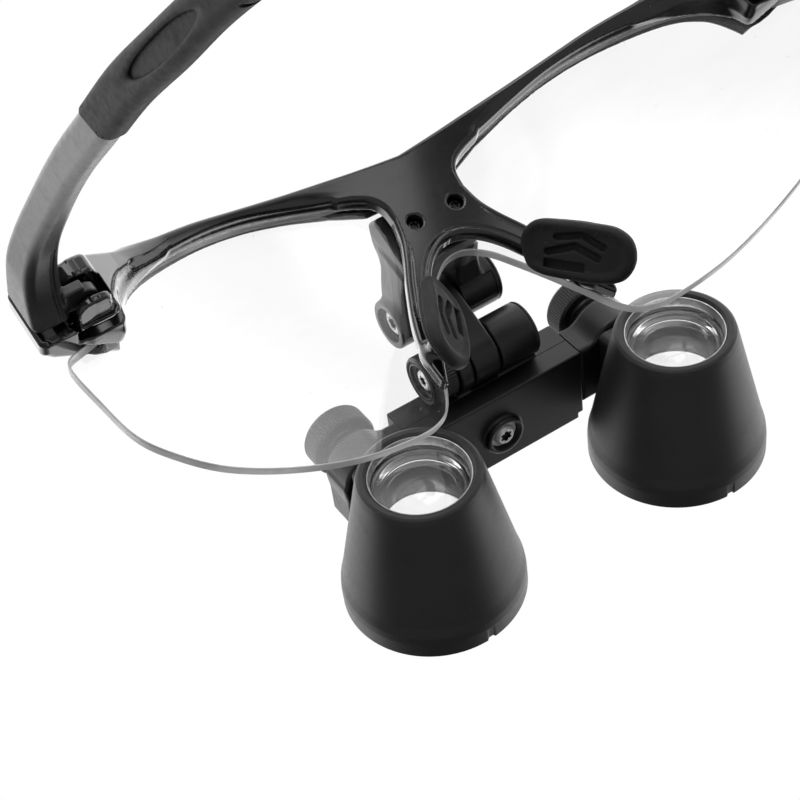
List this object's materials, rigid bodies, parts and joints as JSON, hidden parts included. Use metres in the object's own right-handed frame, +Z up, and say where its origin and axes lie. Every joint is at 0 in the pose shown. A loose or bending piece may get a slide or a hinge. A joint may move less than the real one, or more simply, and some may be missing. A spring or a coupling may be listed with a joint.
{
  "type": "dental loupes",
  "caption": "Flip-up magnifying loupes: conical barrels on a sliding bar and hinged link, carried by a half-rim wraparound frame with a clear shield, nose pads and folding temples.",
  "frame": {"origin": "midpoint between the two nose pads, where the frame sits on the nose", "axes": "+X wearer's right, +Y forwards (the way the wearer looks), +Z up; the barrels point 20 degrees below +Y at rest"},
  "size_m": [0.158, 0.1942, 0.0785],
  "materials": {
    "gloss_black": "glossy moulded black",
    "temple_black": "semi-gloss moulded black",
    "satin_black": "fine-textured satin black",
    "barrel_black": "satin black",
    "inner_black": "matt black",
    "ring_grey": "satin",
    "optical_glass": "clear, coated",
    "clear_shield": "clear, polished",
    "soft_rubber": "matt",
    "steel": "turned",
    "black_steel": "blackened",
    "spring_leaf": "rolled"
  },
  "bodies": {
    "frame": {"front_frame": "gloss_black", "shield_lens": "clear_shield", "left_nose_pad": "soft_rubber", "right_nose_pad": "soft_rubber", "flip_bracket": "satin_black", "bridge_screws": "black_steel", "flip_bolt": "steel", "hinge_pins": "steel"},
    "left_temple": {"left_temple": "temple_black", "left_temple_tip": "soft_rubber"},
    "right_temple": {"right_temple": "temple_black", "right_temple_tip": "soft_rubber"},
    "link": {"flip_link": "satin_black"},
    "bar": {"bar_housing": "satin_black", "bar_cover": "satin_black", "friction_leaf": "spring_leaf", "cover_screw": "steel", "cover_washer": "steel", "tilt_bolt": "steel"},
    "tilt_knob": {"tilt_knob": "satin_black"},
    "left_arm": {"left_arm": "satin_black"},
    "left_knob": {"left_knob": "satin_black"},
    "left_barrel": {"left_barrel": "barrel_black", "left_eyepiece_ring": "ring_grey", "left_eyepiece_lens": "optical_glass", "left_lens_spacer": "inner_black", "left_objective_lens": "optical_glass", "left_objective_ring": "inner_black", "left_barrel_foot": "satin_black", "left_clamp_stud": "steel"},
    "right_arm": {"right_arm": "satin_black"},
    "right_knob": {"right_knob": "satin_black"},
    "right_barrel": {"right_barrel": "barrel_black", "right_eyepiece_ring": "ring_grey", "right_eyepiece_lens": "optical_glass", "right_lens_spacer": "inner_black", "right_objective_lens": "optical_glass", "right_objective_ring": "inner_black", "right_barrel_foot": "satin_black", "right_clamp_stud": "steel"}
  },
  "joints": [
    {"name": "left_temple_fold", "type": "hinge", "parent": "frame", "child": "left_temple", "pos_m": [-0.0695, -0.0225, 0.0247], "axis": [0, 0, 1], "range_deg": [0, 78]},
    {"name": "right_temple_fold", "type": "hinge", "parent": "frame", "child": "right_temple", "pos_m": [0.0695, -0.0225, 0.0247], "axis": [0, 0, -1], "range_deg": [0, 90]},
    {"name": "flip_up", "type": "hinge", "parent": "frame", "child": "link", "pos_m": [0, 0.03021, 0.0174], "axis": [1, 0, 0], "range_deg": [0, 95]},
    {"name": "tilt", "type": "hinge", "parent": "link", "child": "bar", "pos_m": [0, 0.03119, 0.00459], "axis": [1, 0, 0], "range_deg": [-8, 15]},
    {"name": "tilt_knob_turn", "type": "hinge", "parent": "bar", "child": "tilt_knob", "pos_m": [-0.009, 0.03119, 0.00459], "axis": [1, 0, 0], "range_deg": [-90, 180]},
    {"name": "left_pd_slide", "type": "slide", "parent": "bar", "child": "left_arm", "axis": [-1, 0, 0], "range_m": [0, 0.006]},
    {"name": "left_toe", "type": "hinge", "parent": "left_arm", "child": "left_barrel", "pos_m": [-0.028, 0.03645, -0.00552], "axis": [0, 0.342, 0.9397], "range_deg": [-6, 6]},
    {"name": "left_knob_turn", "type": "hinge", "parent": "left_arm", "child": "left_knob", "pos_m": [-0.028, 0.04011, 0.00454], "axis": [0, 0.342, 0.9397], "range_deg": [-90, 180]},
    {"name": "right_pd_slide", "type": "slide", "parent": "bar", "child": "right_arm", "axis": [1, 0, 0], "range_m": [0, 0.006]},
    {"name": "right_toe", "type": "hinge", "parent": "right_arm", "child": "right_barrel", "pos_m": [0.028, 0.03645, -0.00552], "axis": [0, 0.342, 0.9397], "range_deg": [-6, 6]},
    {"name": "right_knob_turn", "type": "hinge", "parent": "right_arm", "child": "right_knob", "pos_m": [0.028, 0.04011, 0.00454], "axis": [0, 0.342, 0.9397], "range_deg": [-90, 180]}
  ]
}
